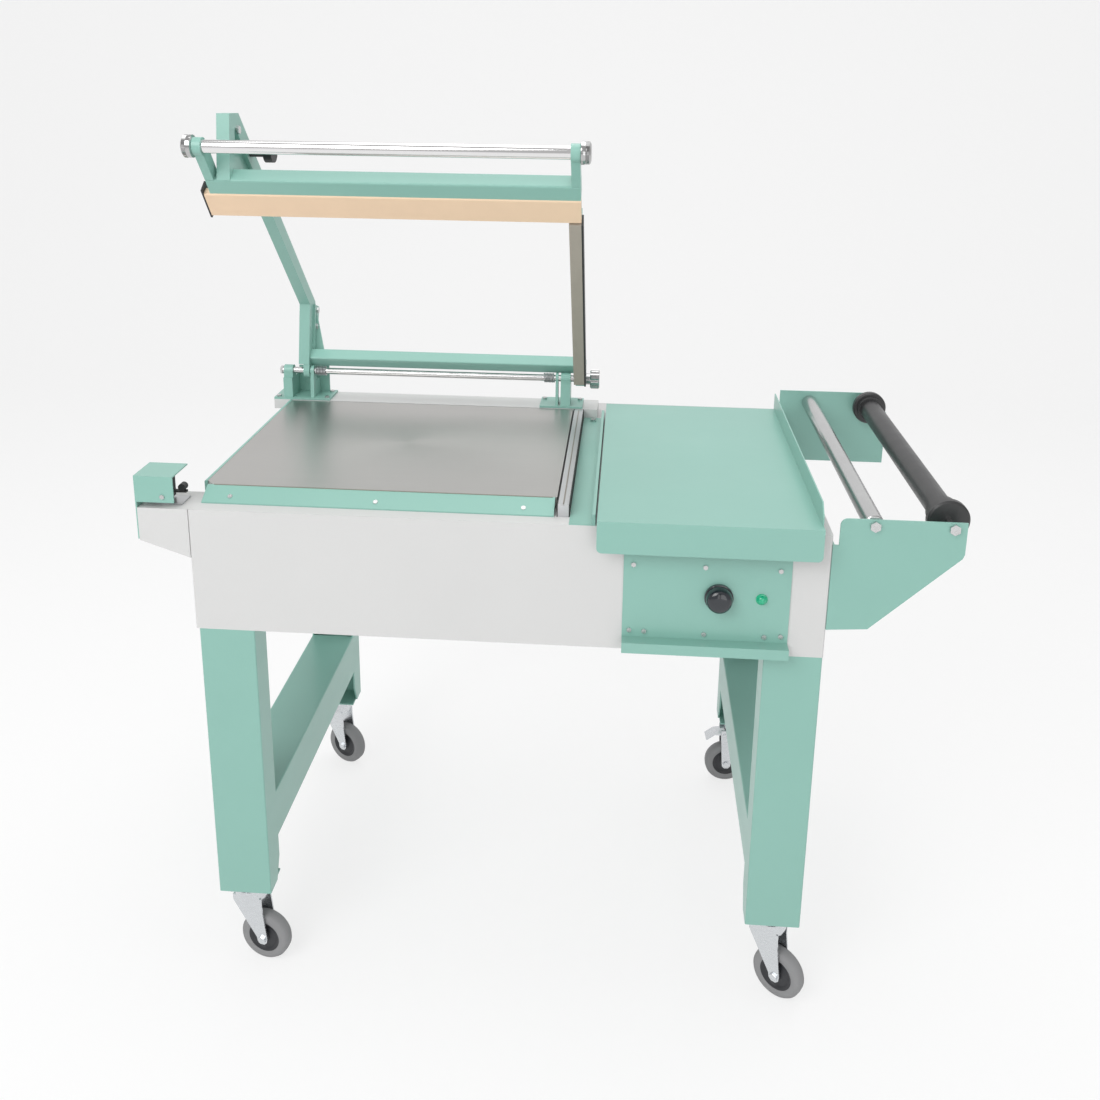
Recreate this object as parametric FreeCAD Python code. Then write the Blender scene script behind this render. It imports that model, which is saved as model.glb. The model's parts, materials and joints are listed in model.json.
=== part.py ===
import FreeCAD, Part
import math
import os

# Film L-bar sealer on a wheeled stand. Millimetres, +Z up, +Y to the rear, +X to the right.
# Everything is drawn with X = 0 at the cabinet's left wall, Y = 0 at its front wall and Z = 0 on the floor.
# At the end all nodes are moved together so that the origin is the bottom centre of the whole machine.

os.makedirs("parts", exist_ok=True)
V = FreeCAD.Vector

# ---- cabinet and table ----
SHEET = 2.0
CABINET_WIDTH = 990.0
CABINET_DEPTH = 645.0
CABINET_BOTTOM = 649.0
CABINET_TOP = 852.5
CABINET_FLANGE = 20.0
TABLE_TOP = 872.0
PLATE_LEFT, PLATE_RIGHT = 6.0, 572.0
PLATE_FRONT, PLATE_REAR = 62.0, 530.0
TRIM_WIDTH = 5.5
JAW_TOE, JAW_HEEL = 28.0, 61.5
JAW_LEFT, JAW_RIGHT = 12.0, 569.0
SIDE_JAW_LEFT, SIDE_JAW_RIGHT = 575.0, 592.0
SIDE_JAW_FRONT, SIDE_JAW_REAR = 30.0, 530.0
GASKET = 1.5
WIRE_RADIUS = 1.0
SIDE_TABLE_LEFT, SIDE_TABLE_RIGHT = 594.0, 634.0
BEAM_FRONT, BEAM_REAR = 535.0, 600.0
SIDE_TABLE_REAR = BEAM_FRONT - 0.5
DIVIDER_TOP = 871.0
TRAY_LEFT, TRAY_RIGHT = 637.0, 972.0
TRAY_FRONT, TRAY_REAR = -29.0, 578.0
TRAY_LIP_BOTTOM = 821.0
TRAY_WALL_TOP = 904.0

# ---- legs, stretchers and casters ----
LEG_WIDTH = 90.0
LEG_DEPTH = 52.0
LEG_BOTTOM = 150.0
LEG_SHEET = 3.0
LEG_LEFT_X, LEG_RIGHT_X = 5.0, 899.0
STRETCHER_BOTTOM, STRETCHER_TOP = 229.0, 315.0
SWIVEL_INSET = 32.0
WHEEL_RADIUS = 45.0
WHEEL_WIDTH = 24.0
HUB_RADIUS = 29.0
CASTER_TRAIL = 24.0
KINGPIN_RADIUS = 6.0
AXLE_RADIUS = 5.0
RUNNING_FIT = 0.06
SEAT_GAP = 0.1

# ---- sealing arm, drawn closed and then raised about the hinge shaft ----
HINGE_Y, HINGE_Z = 553.0, 929.0
ARM_OPEN_ANGLE = 52.0
SHAFT_RADIUS = 6.5
EAR_RADIUS = 11.0
CROSS_TUBE = 25.0
CROSS_TUBE_LIFT = 12.0
GOOSENECK_LEFT, GOOSENECK_RIGHT = 20.0, 41.0
PAD_LEFT, PAD_RIGHT = -9.0, 595.0
PAD_FRONT, PAD_REAR = 15.0, 67.0
PAD_BOTTOM = 875.0
PAD_THICK = 14.0
CHANNEL_FRONT = -14.0
CHANNEL_TOP = 905.0
HANDLE_Y, HANDLE_Z = -78.0, 884.0
HANDLE_RADIUS = 10.5
HANDLE_CAP_RADIUS = 18.0

# ---- control panel ----
PANEL_LEFT, PANEL_RIGHT = 679.0, 933.0
PANEL_LEDGE = 672.0
PANEL_TOP = 838.0
KNOB_X, KNOB_Z = 825.0, 745.0
KNOB_RADIUS = 22.0
LAMP_X, LAMP_Z = 890.0, 744.0
LAMP_RADIUS = 9.0

# ---- film supply rollers ----
BRACKET_SHEET = 3.0
ROLLER_Z = 870.0
GUIDE_X, SUPPLY_X = 1049.5, 1165.0
ROLLER_SHAFT_RADIUS = 6.0
GUIDE_RADIUS = 15.0
SLEEVE_RADIUS = 20.0
COLLAR_RADIUS = 32.0

nodes = {}


def block(x0, x1, y0, y1, z0, z1):
    return Part.makeBox(x1 - x0, y1 - y0, z1 - z0, V(x0, y0, z0))


def rod_x(x0, x1, y, z, radius):
    return Part.makeCylinder(radius, x1 - x0, V(x0, y, z), V(1, 0, 0))


def rod_y(x, y0, y1, z, radius):
    return Part.makeCylinder(radius, y1 - y0, V(x, y0, z), V(0, 1, 0))


def rod_z(x, y, z0, z1, radius):
    return Part.makeCylinder(radius, z1 - z0, V(x, y, z0), V(0, 0, 1))


def side_plate(points, x0, x1):
    wire = Part.makePolygon([V(x0, y, z) for y, z in points] + [V(x0, points[0][0], points[0][1])])
    return Part.Face(wire).extrude(V(x1 - x0, 0, 0))


def front_plate(points, y0, y1):
    wire = Part.makePolygon([V(x, y0, z) for x, z in points] + [V(points[0][0], y0, points[0][1])])
    return Part.Face(wire).extrude(V(0, y1 - y0, 0))


def flat_plate(points, z0, z1):
    wire = Part.makePolygon([V(x, y, z0) for x, y in points] + [V(points[0][0], points[0][1], z0)])
    return Part.Face(wire).extrude(V(0, 0, z1 - z0))


def join(shapes):
    result = shapes[0].multiFuse(shapes[1:]) if len(shapes) > 1 else shapes[0]
    return result.removeSplitter()


def group(shapes):
    return Part.makeCompound(shapes)


def edges_along(shape, direction, test):
    picked = []
    for edge in shape.Edges:
        if edge.Curve.TypeId != "Part::GeomLine":
            continue
        run = edge.Vertexes[1].Point.sub(edge.Vertexes[0].Point)
        if run.Length > 0.01 and abs(run.normalize().dot(direction)) > 0.999:
            middle = edge.CenterOfMass
            if test(middle):
                picked.append(edge)
    return picked


def rounded(shape, radius, direction, test):
    return shape.makeFillet(radius, edges_along(shape, direction, test))


def screw(x, y, z, radius, height, axis):
    # A hexagon head, 2 * radius across corners: its flat face stands on (x, y, z), its top points along the axis.
    side = axis.cross(V(1, 0, 0)) if abs(axis.x) < 0.5 else axis.cross(V(0, 1, 0))
    side.normalize()
    other = axis.cross(side)
    points = []
    for corner in range(6):
        turn = math.radians(60 * corner)
        points.append(V(x, y, z) + side * (radius * math.cos(turn)) + other * (radius * math.sin(turn)))
    return Part.Face(Part.makePolygon(points + [points[0]])).extrude(axis * height)


def chamfered(shape, size, test):
    rims = [e for e in shape.Edges if e.Curve.TypeId == "Part::GeomCircle" and test(e.Curve.Center)]
    return shape.makeChamfer(size, rims)


# ======================= cabinet =======================
outer = block(0, CABINET_WIDTH, 0, CABINET_DEPTH, CABINET_BOTTOM, CABINET_TOP)
outer = rounded(outer, 3.0, V(0, 0, 1), lambda p: True)
inner = block(SHEET, CABINET_WIDTH - SHEET, SHEET, CABINET_DEPTH - SHEET,
              CABINET_BOTTOM + SHEET, CABINET_TOP - SHEET)
mouth = block(CABINET_FLANGE, CABINET_WIDTH - CABINET_FLANGE, CABINET_FLANGE,
              CABINET_DEPTH - CABINET_FLANGE, CABINET_BOTTOM - 1, CABINET_BOTTOM + SHEET + 1)
window = block(PANEL_LEFT + 30, PANEL_RIGHT - 20, -1, SHEET + 1, PANEL_LEDGE + 30, PANEL_TOP - 30)
nodes["cabinet_shell"] = outer.cut(inner).cut(mouth).cut(window)
nodes["cabinet_floor"] = block(SHEET + 1, CABINET_WIDTH - SHEET - 1, SHEET + 1,
                               CABINET_DEPTH - SHEET - 1, CABINET_BOTTOM + SHEET, CABINET_BOTTOM + 2 * SHEET)

# ======================= stand =======================


def leg(x, facing):
    # A folded channel closed by a head plate and a foot plate. Facing +1 has its web at the front.
    web = block(0, LEG_WIDTH, 0, LEG_SHEET, LEG_BOTTOM, CABINET_BOTTOM)
    side = side_plate([(0, LEG_BOTTOM), (LEG_DEPTH - 17, LEG_BOTTOM), (LEG_DEPTH, LEG_BOTTOM + 38),
                       (LEG_DEPTH, CABINET_BOTTOM), (0, CABINET_BOTTOM)], 0, LEG_SHEET)
    other = side.copy()
    other.translate(V(LEG_WIDTH - LEG_SHEET, 0, 0))
    shell = join([web, side, other])
    shell = rounded(shell, 2.5, V(0, 0, 1), lambda p: p.y < 0.1)
    head = block(LEG_SHEET, LEG_WIDTH - LEG_SHEET, LEG_SHEET, LEG_DEPTH, CABINET_BOTTOM - LEG_SHEET, CABINET_BOTTOM)
    foot = block(LEG_SHEET, LEG_WIDTH - LEG_SHEET, LEG_SHEET, SWIVEL_INSET + 28, LEG_BOTTOM, LEG_BOTTOM + LEG_SHEET)
    made = join([shell, head, foot])
    if facing < 0:
        made = made.mirror(V(0, 0, 0), V(0, 1, 0))
        made.translate(V(0, CABINET_DEPTH, 0))
    made.translate(V(x, 0, 0))
    return made


nodes["front_legs"] = group([leg(LEG_LEFT_X, 1), leg(LEG_RIGHT_X, 1)])
nodes["rear_legs"] = group([leg(LEG_LEFT_X, -1), leg(LEG_RIGHT_X, -1)])


def stretcher(x):
    y0, y1 = LEG_DEPTH, CABINET_DEPTH - LEG_DEPTH
    solid = block(x, x + LEG_WIDTH, y0, y1, STRETCHER_BOTTOM, STRETCHER_TOP)
    hollow = block(x + LEG_SHEET, x + LEG_WIDTH - LEG_SHEET, y0 + LEG_SHEET, y1 - LEG_SHEET,
                   STRETCHER_BOTTOM - 1, STRETCHER_TOP - LEG_SHEET)
    solid = rounded(solid, 2.5, V(0, 1, 0), lambda p: p.z > STRETCHER_TOP - 1)
    return solid.cut(hollow)


nodes["stretchers"] = group([stretcher(LEG_LEFT_X), stretcher(LEG_RIGHT_X)])

# ======================= work table =======================
corner = 14.0
plate = flat_plate([(PLATE_LEFT + corner, PLATE_FRONT), (PLATE_RIGHT, PLATE_FRONT), (PLATE_RIGHT, PLATE_REAR),
                    (PLATE_LEFT, PLATE_REAR), (PLATE_LEFT, PLATE_FRONT + corner)], CABINET_TOP, TABLE_TOP)
hollow = block(PLATE_LEFT + SHEET, PLATE_RIGHT - SHEET, PLATE_FRONT + corner + SHEET, PLATE_REAR - SHEET,
               CABINET_TOP - 1, TABLE_TOP - SHEET)
nodes["work_plate"] = plate.cut(hollow)
trim = block(0, TRIM_WIDTH, PLATE_FRONT + corner, PLATE_REAR + 4, CABINET_TOP, TABLE_TOP)
nodes["table_edge_trim"] = rounded(trim, 2.0, V(0, 1, 0), lambda p: p.x < 1 and p.z > TABLE_TOP - 1)

jaw = side_plate([(JAW_TOE, CABINET_TOP), (JAW_TOE, CABINET_TOP + 2), (JAW_TOE + 27, TABLE_TOP - 1.5),
                  (JAW_TOE + 30, TABLE_TOP), (JAW_HEEL, TABLE_TOP), (JAW_HEEL, CABINET_TOP)], JAW_LEFT, JAW_RIGHT)
nodes["front_jaw"] = jaw
side_jaw = block(SIDE_JAW_LEFT, SIDE_JAW_RIGHT, SIDE_JAW_FRONT, SIDE_JAW_REAR, CABINET_TOP, TABLE_TOP)
groove = block(SIDE_JAW_LEFT + 7.5, SIDE_JAW_LEFT + 9.5, SIDE_JAW_FRONT - 1, SIDE_JAW_REAR + 1,
               TABLE_TOP - 1, TABLE_TOP + 1)
nodes["side_jaw"] = side_jaw.cut(groove)
nodes["jaw_gaskets"] = group([
    block(SIDE_JAW_LEFT - GASKET, SIDE_JAW_LEFT, SIDE_JAW_FRONT, SIDE_JAW_REAR, CABINET_TOP, TABLE_TOP + 0.8),
    block(SIDE_JAW_RIGHT, SIDE_JAW_RIGHT + GASKET, SIDE_JAW_FRONT, SIDE_JAW_REAR, CABINET_TOP, TABLE_TOP + 0.8)])
nodes["seal_wires"] = group([
    block(JAW_LEFT + 10, JAW_RIGHT - 4, JAW_HEEL - 2.5, JAW_HEEL - 0.5, TABLE_TOP, TABLE_TOP + WIRE_RADIUS),
    block(SIDE_JAW_LEFT + 7.7, SIDE_JAW_LEFT + 9.3, SIDE_JAW_FRONT + 8, SIDE_JAW_REAR - 8,
          TABLE_TOP - 1, TABLE_TOP + WIRE_RADIUS)])

floor = block(SIDE_TABLE_LEFT, SIDE_TABLE_RIGHT, 0, SIDE_TABLE_REAR, CABINET_TOP, CABINET_TOP + SHEET)
fin = block(SIDE_TABLE_RIGHT - 5, SIDE_TABLE_RIGHT, 0, SIDE_TABLE_REAR, CABINET_TOP, DIVIDER_TOP)
nodes["side_table"] = join([floor, fin])

# ======================= film tray =======================
deck = block(TRAY_LEFT, TRAY_RIGHT, TRAY_FRONT, TRAY_REAR, TABLE_TOP - SHEET, TABLE_TOP)
r = 8.0
lip = block(TRAY_LEFT, TRAY_RIGHT, TRAY_FRONT, TRAY_FRONT + SHEET, TRAY_LIP_BOTTOM, TABLE_TOP)
lip = rounded(lip, r, V(0, 1, 0), lambda p: p.z < TRAY_LIP_BOTTOM + 1)
wall = side_plate([(TRAY_FRONT + 16, TABLE_TOP - SHEET), (TRAY_FRONT + 16, TABLE_TOP + 14),
                   (TRAY_FRONT + 34, TRAY_WALL_TOP), (TRAY_REAR, TRAY_WALL_TOP), (TRAY_REAR, TABLE_TOP - SHEET)],
                  TRAY_RIGHT - SHEET, TRAY_RIGHT)
rear_lip = block(TRAY_LEFT, TRAY_RIGHT - 6, TRAY_REAR - SHEET, TRAY_REAR, CABINET_TOP, TABLE_TOP)
nodes["film_tray"] = join([deck, lip, wall, rear_lip])
nodes["tray_rails"] = group([
    block(TRAY_LEFT + 6, TRAY_LEFT + 26, 10, TRAY_REAR - 20, CABINET_TOP, TABLE_TOP - SHEET),
    block(TRAY_RIGHT - 32, TRAY_RIGHT - 12, 10, TRAY_REAR - 20, CABINET_TOP, TABLE_TOP - SHEET)])

# ======================= control panel =======================
face = block(PANEL_LEFT, PANEL_RIGHT, -SHEET, 0, PANEL_LEDGE - SHEET, PANEL_TOP)
shelf = block(PANEL_LEFT, PANEL_RIGHT, -25, 0, PANEL_LEDGE - SHEET, PANEL_LEDGE)
apron = block(PANEL_LEFT, PANEL_RIGHT, -25, -25 + SHEET, PANEL_LEDGE - 17, PANEL_LEDGE)
panel = join([face, shelf, apron])
panel = panel.cut(rod_y(KNOB_X, -10, 10, KNOB_Z, 5.0))
panel = panel.cut(rod_y(LAMP_X, -10, 10, LAMP_Z, 6.5))
nodes["control_panel"] = panel
lens = rod_y(LAMP_X, -SHEET - 8, -SHEET, LAMP_Z, LAMP_RADIUS)
lens = chamfered(lens, 3.5, lambda c: c.y < -SHEET - 7)
lamp = join([lens, rod_y(LAMP_X, -SHEET, 24, LAMP_Z, 6.4)])
nodes["pilot_lamp"] = lamp
timer = block(KNOB_X - 24, KNOB_X + 24, 0, 42, KNOB_Z - 24, KNOB_Z + 24)
nodes["timer_body"] = timer.cut(rod_y(KNOB_X, -1, 16, KNOB_Z, 3.0 + RUNNING_FIT))
dome = rod_y(KNOB_X, -SHEET - 24, -SHEET - 1, KNOB_Z, KNOB_RADIUS - 2)
dome = chamfered(dome, 5.0, lambda c: c.y < -SHEET - 23)
skirt = rod_y(KNOB_X, -SHEET - 6, -SHEET - 0.5, KNOB_Z, KNOB_RADIUS)
stem = rod_y(KNOB_X, -SHEET - 6, 14, KNOB_Z, 3.0)
pointer = block(KNOB_X - 1, KNOB_X + 1, -SHEET - 24.6, -SHEET - 18, KNOB_Z + 4, KNOB_Z + 17)
nodes["control_knob"] = join([dome, skirt, stem, pointer])

# ======================= latch box at the left end =======================
BOX_LEFT, BOX_BACK = -80.0, 75.0
outline = [(BOX_LEFT, 798), (BOX_LEFT, CABINET_TOP), (0, CABINET_TOP), (0, 771)]
box = front_plate(outline, 0, BOX_BACK)
room = front_plate([(BOX_LEFT + SHEET, 800), (BOX_LEFT + SHEET, CABINET_TOP - SHEET), (1, CABINET_TOP - SHEET),
                    (1, 773)], SHEET, BOX_BACK - SHEET)
nodes["left_end_box"] = box.cut(room)
hood_side = side_plate([(0, 800), (24, 800), (24, 862), (62, 862), (62, 905), (0, 905)],
                       BOX_LEFT - SHEET, BOX_LEFT)
hood_front = front_plate([(BOX_LEFT - SHEET, 862), (BOX_LEFT - SHEET, 905), (-20, 905), (-20, 862)], 0, SHEET)
hood_top = flat_plate([(BOX_LEFT - SHEET, 0), (-20, 0), (-20, 62), (BOX_LEFT - SHEET, 62)], 905 - SHEET, 905)
nodes["latch_hood"] = join([hood_side, hood_front, hood_top])
foot = block(-60, -14, 16, 52, CABINET_TOP, CABINET_TOP + 2.5)
upright = block(-60, -57.5, 16, 52, CABINET_TOP, 894)
nodes["switch_bracket"] = join([foot, upright])
body = block(-57.5, -36, 20, 48, 858, 890)
arm = block(-36, -12, 30, 38, 868, 871)
wheel = rod_y(-18, 28, 40, 877, 6.0)
nodes["limit_switch"] = join([body, arm, wheel])

# ======================= hinge line =======================
BEAM_LEFT, BEAM_RIGHT = -32.0, 620.0
beam = block(BEAM_LEFT, BEAM_RIGHT, BEAM_FRONT, BEAM_REAR, CABINET_TOP, TABLE_TOP)
beam = beam.cut(block(BEAM_LEFT - 1, BEAM_RIGHT + 1, BEAM_FRONT + SHEET, BEAM_REAR - SHEET,
                      CABINET_TOP - 1, TABLE_TOP - SHEET))
nodes["rear_hinge_beam"] = beam
BASE_TOP = TABLE_TOP + 4.0
BORE = SHAFT_RADIUS + RUNNING_FIT


def ear(x0, x1, half_width):
    # An upright plate with a round head about the hinge shaft, bored for it.
    stalk = block(x0, x1, HINGE_Y - EAR_RADIUS + 0.5, HINGE_Y + EAR_RADIUS - 0.5, BASE_TOP, HINGE_Z)
    root = side_plate([(HINGE_Y - half_width, BASE_TOP), (HINGE_Y + half_width, BASE_TOP),
                       (HINGE_Y + EAR_RADIUS - 0.5, HINGE_Z - 10), (HINGE_Y - EAR_RADIUS + 0.5, HINGE_Z - 10)], x0, x1)
    head = rod_x(x0, x1, HINGE_Y, HINGE_Z, EAR_RADIUS)
    return [stalk, root, head]


bore_line = rod_x(BEAM_LEFT - 10, BEAM_RIGHT + 10, HINGE_Y, HINGE_Z, BORE)
left_base = block(BEAM_LEFT, 82, BEAM_FRONT, BEAM_REAR - 1, TABLE_TOP, BASE_TOP)
left_back = block(6, 68, 589, 592, BASE_TOP, HINGE_Z + 1)
left_rib = block(42, 49, HINGE_Y, 592, BASE_TOP, HINGE_Z - 22)
left_post = block(-12, 6, HINGE_Y - 16, 592, BASE_TOP, HINGE_Z - 13)
tower = join([left_base, left_back, left_rib, left_post] + ear(-12, 6, 16) + ear(42, 49, 14))
nodes["left_hinge_tower"] = tower.cut(bore_line)
right_base = block(505, 590, BEAM_FRONT, BEAM_REAR - 1, TABLE_TOP, BASE_TOP)
right_block = block(546, 565, HINGE_Y, 588, BASE_TOP, HINGE_Z - 16)
tower = join([right_base, right_block] + ear(536, 541, 14) + ear(546, 565, 16))
nodes["right_hinge_tower"] = tower.cut(bore_line)


SPRING_RADIUS = SHAFT_RADIUS + 3.0


def torsion_spring(x0, x1):
    # The wound body of a spring that loads the arm: a close-coiled sleeve about the hinge shaft.
    coil = rod_x(x0, x1, HINGE_Y, HINGE_Z, SPRING_RADIUS)
    return coil.cut(rod_x(x0 - 1, x1 + 1, HINGE_Y, HINGE_Z, SHAFT_RADIUS + 0.6))


nodes["lift_springs"] = group([torsion_spring(50, 73), torsion_spring(511, 534)])

# ======================= film supply brackets and rollers =======================
y0, y1 = 0.0, BRACKET_SHEET
front = front_plate([(990, 697), (1052, 701), (1181.5, 823), (1184, 830), (1184, 880), (999, 880), (999, 837),
                     (990, 837)], y0, y1)
front = rounded(front, 11.0, V(0, 1, 0), lambda p: p.x < 1000 and p.z > 879)
flange = block(990, 990 + BRACKET_SHEET, y0, 44, 697, 837)
nodes["front_supply_bracket"] = join([front, flange])
y1 = CABINET_DEPTH
y0 = y1 - BRACKET_SHEET
rear = front_plate([(990, 745), (1206, 745), (1206, 852), (1180, 893), (990, 893)], y0, y1)
flange = block(990, 990 + BRACKET_SHEET, CABINET_DEPTH - 44, y1, 745, CABINET_TOP)
nodes["rear_supply_bracket"] = join([rear, flange])
ROLLER_FRONT = BRACKET_SHEET
ROLLER_REAR = CABINET_DEPTH - BRACKET_SHEET
nodes["roller_shafts"] = group([
    rod_y(x, ROLLER_FRONT, ROLLER_REAR, ROLLER_Z, ROLLER_SHAFT_RADIUS) for x in (GUIDE_X, SUPPLY_X)])
shaft_bore = ROLLER_SHAFT_RADIUS + RUNNING_FIT
guide = rod_y(GUIDE_X, ROLLER_FRONT + 1, ROLLER_REAR - 1, ROLLER_Z, GUIDE_RADIUS)
guide = guide.makeChamfer(1.5, [e for e in guide.Edges if e.Curve.TypeId == "Part::GeomCircle"])
nodes["guide_roller"] = guide.cut(rod_y(GUIDE_X, 0, CABINET_DEPTH, ROLLER_Z, shaft_bore))
COLLAR_FRONT, COLLAR_REAR = 20.0, 625.0
SLEEVE_FRONT, SLEEVE_REAR = 72.0, 598.0
sleeve = rod_y(SUPPLY_X, SLEEVE_FRONT, SLEEVE_REAR, ROLLER_Z, SLEEVE_RADIUS)
sleeve = sleeve.cut(rod_y(SUPPLY_X, 0, CABINET_DEPTH, ROLLER_Z, shaft_bore))
nodes["supply_sleeve"] = sleeve


def collar(y_flange, y_hub, sign):
    # A core chuck: a wide flange, then a smaller hub that meets the sleeve.
    lo, hi = min(y_flange, y_flange + sign * 16), max(y_flange, y_flange + sign * 16)
    wide = rod_y(SUPPLY_X, lo, hi, ROLLER_Z, COLLAR_RADIUS)
    wide = chamfered(wide, 3.0, lambda c: True)
    hub = rod_y(SUPPLY_X, min(y_flange + sign * 8, y_hub), max(y_flange + sign * 8, y_hub), ROLLER_Z, 25.0)
    return join([wide, hub]).cut(rod_y(SUPPLY_X, 0, CABINET_DEPTH, ROLLER_Z, shaft_bore))


nodes["supply_collars"] = group([collar(COLLAR_FRONT + 10, SLEEVE_FRONT, 1), collar(COLLAR_REAR, SLEEVE_REAR, -1)])

# ======================= fixed screws =======================
FORWARD = V(0, -1, 0)
UP = V(0, 0, 1)
screws = [screw(x, -SHEET, z, 4.0, 2.2, FORWARD) for x, z in
          ((694, 793), (803, 793), (916, 792), (690, 683), (713, 682), (805, 681), (897, 681), (922, 683))]
jaw_slope = math.atan2(TABLE_TOP - 1.5 - CABINET_TOP - 2, 27)
jaw_normal = V(0, -math.sin(jaw_slope), math.cos(jaw_slope))
jaw_seat = V(0, JAW_TOE + 11, CABINET_TOP + 2 + 11 * math.tan(jaw_slope)) + jaw_normal * 0.05
screws += [screw(x, jaw_seat.y, jaw_seat.z, 4.0, 1.2, jaw_normal) for x in (55, 288, 521)]
screws += [screw(x, 0, ROLLER_Z, 8.5, 5.0, FORWARD) for x in (GUIDE_X, SUPPLY_X)]
screws += [screw(x, CABINET_DEPTH, ROLLER_Z, 8.5, 5.0, V(0, 1, 0)) for x in (GUIDE_X, SUPPLY_X)]
screws += [screw(x, y, BASE_TOP, 5.0, 3.5, UP) for x, y in
           ((-24, 543), (-24, 591), (74, 543), (74, 585), (512, 585), (583, 585))]
screws += [screw(BOX_LEFT + 42, 0, 872, 4.0, 2.2, FORWARD), screw(613, SIDE_TABLE_REAR - 20, CABINET_TOP + SHEET, 6, 4, UP)]
nodes["machine_screws"] = group(screws)

# ======================= sealing arm (closed position) =======================
arm_nodes = {}
tube_bottom = HINGE_Z + CROSS_TUBE_LIFT
tube_front = HINGE_Y - CROSS_TUBE
cross = block(GOOSENECK_RIGHT, SIDE_JAW_LEFT, tube_front, HINGE_Y, tube_bottom, tube_bottom + CROSS_TUBE)
cross = rounded(cross, 2.5, V(1, 0, 0), lambda p: True)
cross = cross.cut(block(GOOSENECK_RIGHT - 1, SIDE_JAW_LEFT + 1, tube_front + SHEET, HINGE_Y - SHEET,
                        tube_bottom + SHEET, tube_bottom + CROSS_TUBE - SHEET))
arm_nodes["rear_cross_tube"] = cross

# The long limb runs forward to a sharp elbow, and a short limb comes back down to the front channel.
neck = side_plate([(533, 929), (456, 1021), (-55.6, 956.7), (-7.3, CHANNEL_TOP), (CHANNEL_FRONT, CHANNEL_TOP),
                   (CHANNEL_FRONT, 877), (-85, 953), (-59, 985), (482, 1050), (558, 953)],
                  GOOSENECK_LEFT, GOOSENECK_RIGHT)
lug = rod_x(GOOSENECK_RIGHT - 12, GOOSENECK_RIGHT, HINGE_Y, HINGE_Z, 14.0)
lug_web = side_plate([(534, 930), (543, 919), (566, 926), (557, 952)], GOOSENECK_RIGHT - 12, GOOSENECK_RIGHT)
gusset = side_plate([(tube_front + 4, tube_bottom + CROSS_TUBE), (HINGE_Y, tube_bottom + CROSS_TUBE),
                     (500, 1052), (474, 1036)], GOOSENECK_RIGHT, GOOSENECK_RIGHT + 4)
neck = neck.multiFuse([lug, lug_web, gusset])
arm_nodes["gooseneck_arm"] = neck

side_bottom = PAD_BOTTOM + PAD_THICK
side_outline = [(PAD_REAR, side_bottom), (500, side_bottom), (538, HINGE_Z - 14), (566, HINGE_Z - 8),
                (566, HINGE_Z + 14), (540, tube_bottom + CROSS_TUBE), (480, 925), (PAD_REAR, 914)]
side = side_plate(side_outline, SIDE_JAW_LEFT, SIDE_JAW_RIGHT + 3)
arm_nodes["side_arm"] = side
arm_nodes["side_pad"] = block(SIDE_JAW_LEFT, SIDE_JAW_RIGHT + 3, PAD_REAR, 500, PAD_BOTTOM, side_bottom)

channel = block(PAD_LEFT + 10, PAD_RIGHT, CHANNEL_FRONT, PAD_FRONT, PAD_BOTTOM + 2, CHANNEL_TOP)
channel = rounded(channel, 3.0, V(1, 0, 0), lambda p: p.y < 0)
channel = channel.cut(block(PAD_LEFT + 12, PAD_RIGHT - SHEET, CHANNEL_FRONT + SHEET, PAD_FRONT - SHEET,
                            PAD_BOTTOM + 4, CHANNEL_TOP - SHEET))
holder = block(PAD_LEFT + 10, PAD_RIGHT, PAD_FRONT, PAD_REAR - 3, side_bottom, CHANNEL_TOP)
holder = holder.cut(block(PAD_LEFT + 9, PAD_RIGHT + 1, PAD_FRONT + 3, PAD_REAR - 6, side_bottom + 3, CHANNEL_TOP + 1))
tabs = []
for x0, x1 in ((1.0, 15.0), (581.0, 595.0)):
    tab = side_plate([(CHANNEL_FRONT, PAD_BOTTOM + 2), (CHANNEL_FRONT, 900), (HANDLE_Y, HANDLE_Z + 15),
                      (HANDLE_Y, PAD_BOTTOM - 1)], x0, x1)
    tab = tab.fuse(rod_x(x0, x1, HANDLE_Y, HANDLE_Z, 14.0))
    tabs.append(tab.cut(rod_x(x0 - 1, x1 + 1, HANDLE_Y, HANDLE_Z, HANDLE_RADIUS + SEAT_GAP)))
channel = join([channel, holder] + tabs)
arm_nodes["front_channel"] = channel
pad = side_plate([(PAD_FRONT, PAD_BOTTOM + 2), (PAD_FRONT + 2, PAD_BOTTOM), (PAD_REAR - 5, PAD_BOTTOM),
                  (PAD_REAR, PAD_BOTTOM + 5), (PAD_REAR, side_bottom), (PAD_FRONT, side_bottom)], PAD_LEFT, PAD_RIGHT)
arm_nodes["front_pad"] = pad.cut(block(SIDE_JAW_LEFT - 1, PAD_RIGHT + 1, PAD_REAR - 0.2, PAD_REAR + 1, 800, 900))
arm_nodes["pad_edging"] = group([
    block(PAD_LEFT - 3, PAD_LEFT, PAD_FRONT - 8, PAD_REAR, PAD_BOTTOM, PAD_BOTTOM + 22),
    block(SIDE_JAW_RIGHT + 3, SIDE_JAW_RIGHT + 6, PAD_REAR, 505, PAD_BOTTOM, PAD_BOTTOM + 24)])

handle = rod_x(-12, 608, HANDLE_Y, HANDLE_Z, HANDLE_RADIUS)
handle = handle.cut(rod_x(-20, 620, HANDLE_Y, HANDLE_Z, HANDLE_RADIUS - 2))
arm_nodes["handle_tube"] = handle


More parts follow.
